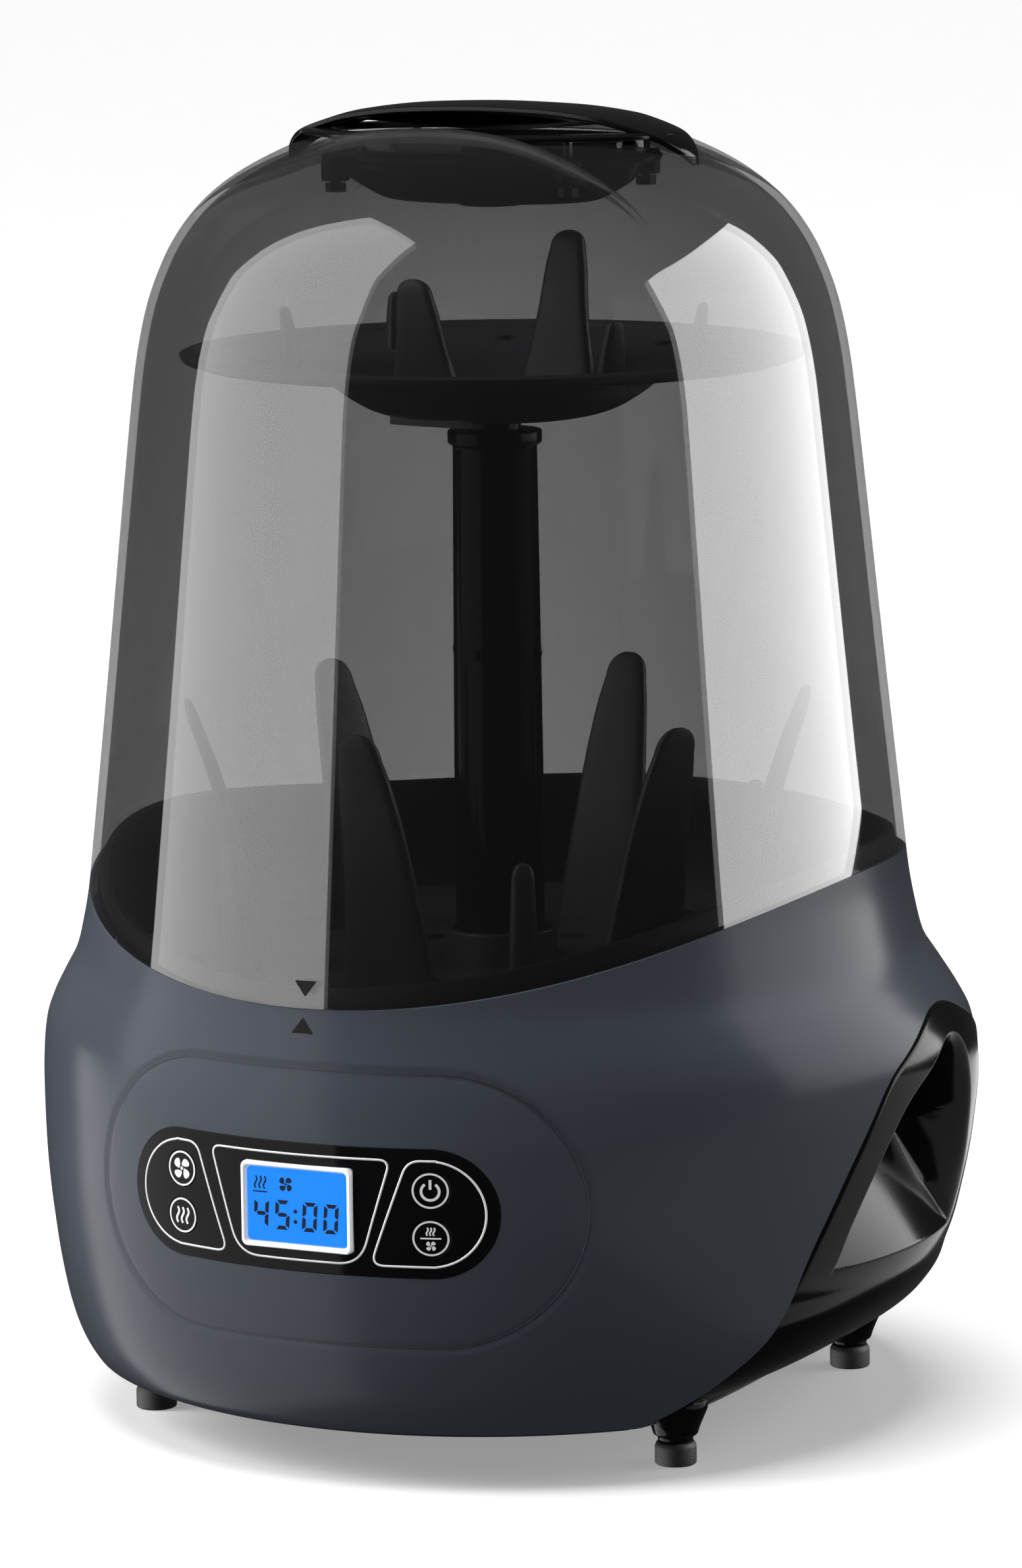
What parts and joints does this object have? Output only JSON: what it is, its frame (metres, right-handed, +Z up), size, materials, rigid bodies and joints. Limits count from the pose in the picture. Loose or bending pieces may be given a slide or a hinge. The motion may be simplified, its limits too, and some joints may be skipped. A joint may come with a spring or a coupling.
{
  "type": "bottle sterilizer",
  "caption": "Countertop steam sterilizer and dryer for baby bottles: round base with a curved panel and side grips, tall smoke dome with a top handle, rack and tray inside.",
  "frame": {"origin": "on the floor under the middle of the appliance, at the underside of the foot pads", "axes": "+Z up, -Y towards the front with the control panel, +X to the appliance's left hand side (right in a front view)"},
  "size_m": [0.2843, 0.2713, 0.39],
  "materials": {
    "slate_shell": "gloss",
    "black_gloss": "gloss",
    "dark_plastic": "satin",
    "smoke_cover": "clear smoke-tinted moulding",
    "rack_grey": "satin",
    "steel": "fine brushed",
    "dark_steel": "blackened",
    "silver_trim": "satin",
    "rubber_pad": "matte",
    "silicone": "matte",
    "blue_display": "backlit",
    "circuit_board": "satin",
    "filter_foam": "open foam"
  },
  "bodies": {
    "cover": {"dome_cover": "smoke_cover", "lid_handle": "black_gloss", "handle_cup": "black_gloss", "lid_screw_1": "dark_steel", "lid_screw_2": "dark_steel", "lid_screw_3": "dark_steel", "lid_screw_4": "dark_steel"},
    "tray": {"accessory_tray": "rack_grey"},
    "rack": {"bottle_rack": "rack_grey", "centre_column": "black_gloss"},
    "fan": {"blower_impeller": "dark_plastic"},
    "filter": {"filter_cover": "dark_plastic", "air_filter": "filter_foam"},
    "fan_key": {"key_fan": "black_gloss"},
    "steam_key": {"key_steam": "black_gloss"},
    "power_key": {"key_power": "black_gloss"},
    "auto_key": {"key_auto": "black_gloss"},
    "base": {"upper_housing": "slate_shell", "side_grip_right": "black_gloss", "side_grip_left": "black_gloss", "base_pan": "black_gloss", "foot_leg_1": "black_gloss", "foot_leg_2": "black_gloss", "foot_leg_3": "black_gloss", "foot_leg_4": "black_gloss", "foot_pad_1": "rubber_pad", "foot_pad_2": "rubber_pad", "foot_pad_3": "rubber_pad", "foot_pad_4": "rubber_pad", "base_screw_1": "steel", "base_screw_2": "steel", "base_screw_3": "steel", "base_screw_4": "steel", "water_basin": "dark_plastic", "heating_plate": "steel", "plate_seal": "silicone", "heating_element": "steel", "thermostat": "dark_plastic", "blower_housing": "dark_plastic", "blower_motor": "steel", "power_inlet": "black_gloss", "inlet_pin_1": "steel", "inlet_pin_2": "steel", "control_bezel": "black_gloss", "lcd_frame": "silver_trim", "lcd_screen": "blue_display", "control_board": "circuit_board", "power_board": "circuit_board"}
  },
  "joints": [
    {"name": "cover_lift", "type": "slide", "parent": "base", "child": "cover", "axis": [0, 0, 1], "range_m": [0, 0.5]},
    {"name": "rack_lift", "type": "slide", "parent": "base", "child": "rack", "axis": [0, 0, 1], "range_m": [0, 0.25]},
    {"name": "tray_lift", "type": "slide", "parent": "rack", "child": "tray", "axis": [0, 0, 1], "range_m": [0, 0.125]},
    {"name": "fan_spin", "type": "hinge", "parent": "base", "child": "fan", "pos_m": [-0.018, 0.06, 0.045], "axis": [0, 0, 1], "continuous": true},
    {"name": "filter_pull", "type": "slide", "parent": "base", "child": "filter", "axis": [0, 1, 0], "range_m": [0, 0.03]},
    {"name": "fan_key_press", "type": "slide", "parent": "base", "child": "fan_key", "axis": [0, 1, 0], "range_m": [0, 0.0008], "stiffness_N_per_m": 400},
    {"name": "steam_key_press", "type": "slide", "parent": "base", "child": "steam_key", "axis": [0, 1, 0], "range_m": [0, 0.0008], "stiffness_N_per_m": 400},
    {"name": "power_key_press", "type": "slide", "parent": "base", "child": "power_key", "axis": [0, 1, 0], "range_m": [0, 0.0008], "stiffness_N_per_m": 400},
    {"name": "auto_key_press", "type": "slide", "parent": "base", "child": "auto_key", "axis": [0, 1, 0], "range_m": [0, 0.0008], "stiffness_N_per_m": 400}
  ],
  "couplings": [
    {"joint": "rack_lift", "follows": "cover_lift", "ratio": 0.5},
    {"joint": "tray_lift", "follows": "cover_lift", "ratio": 0.25}
  ]
}
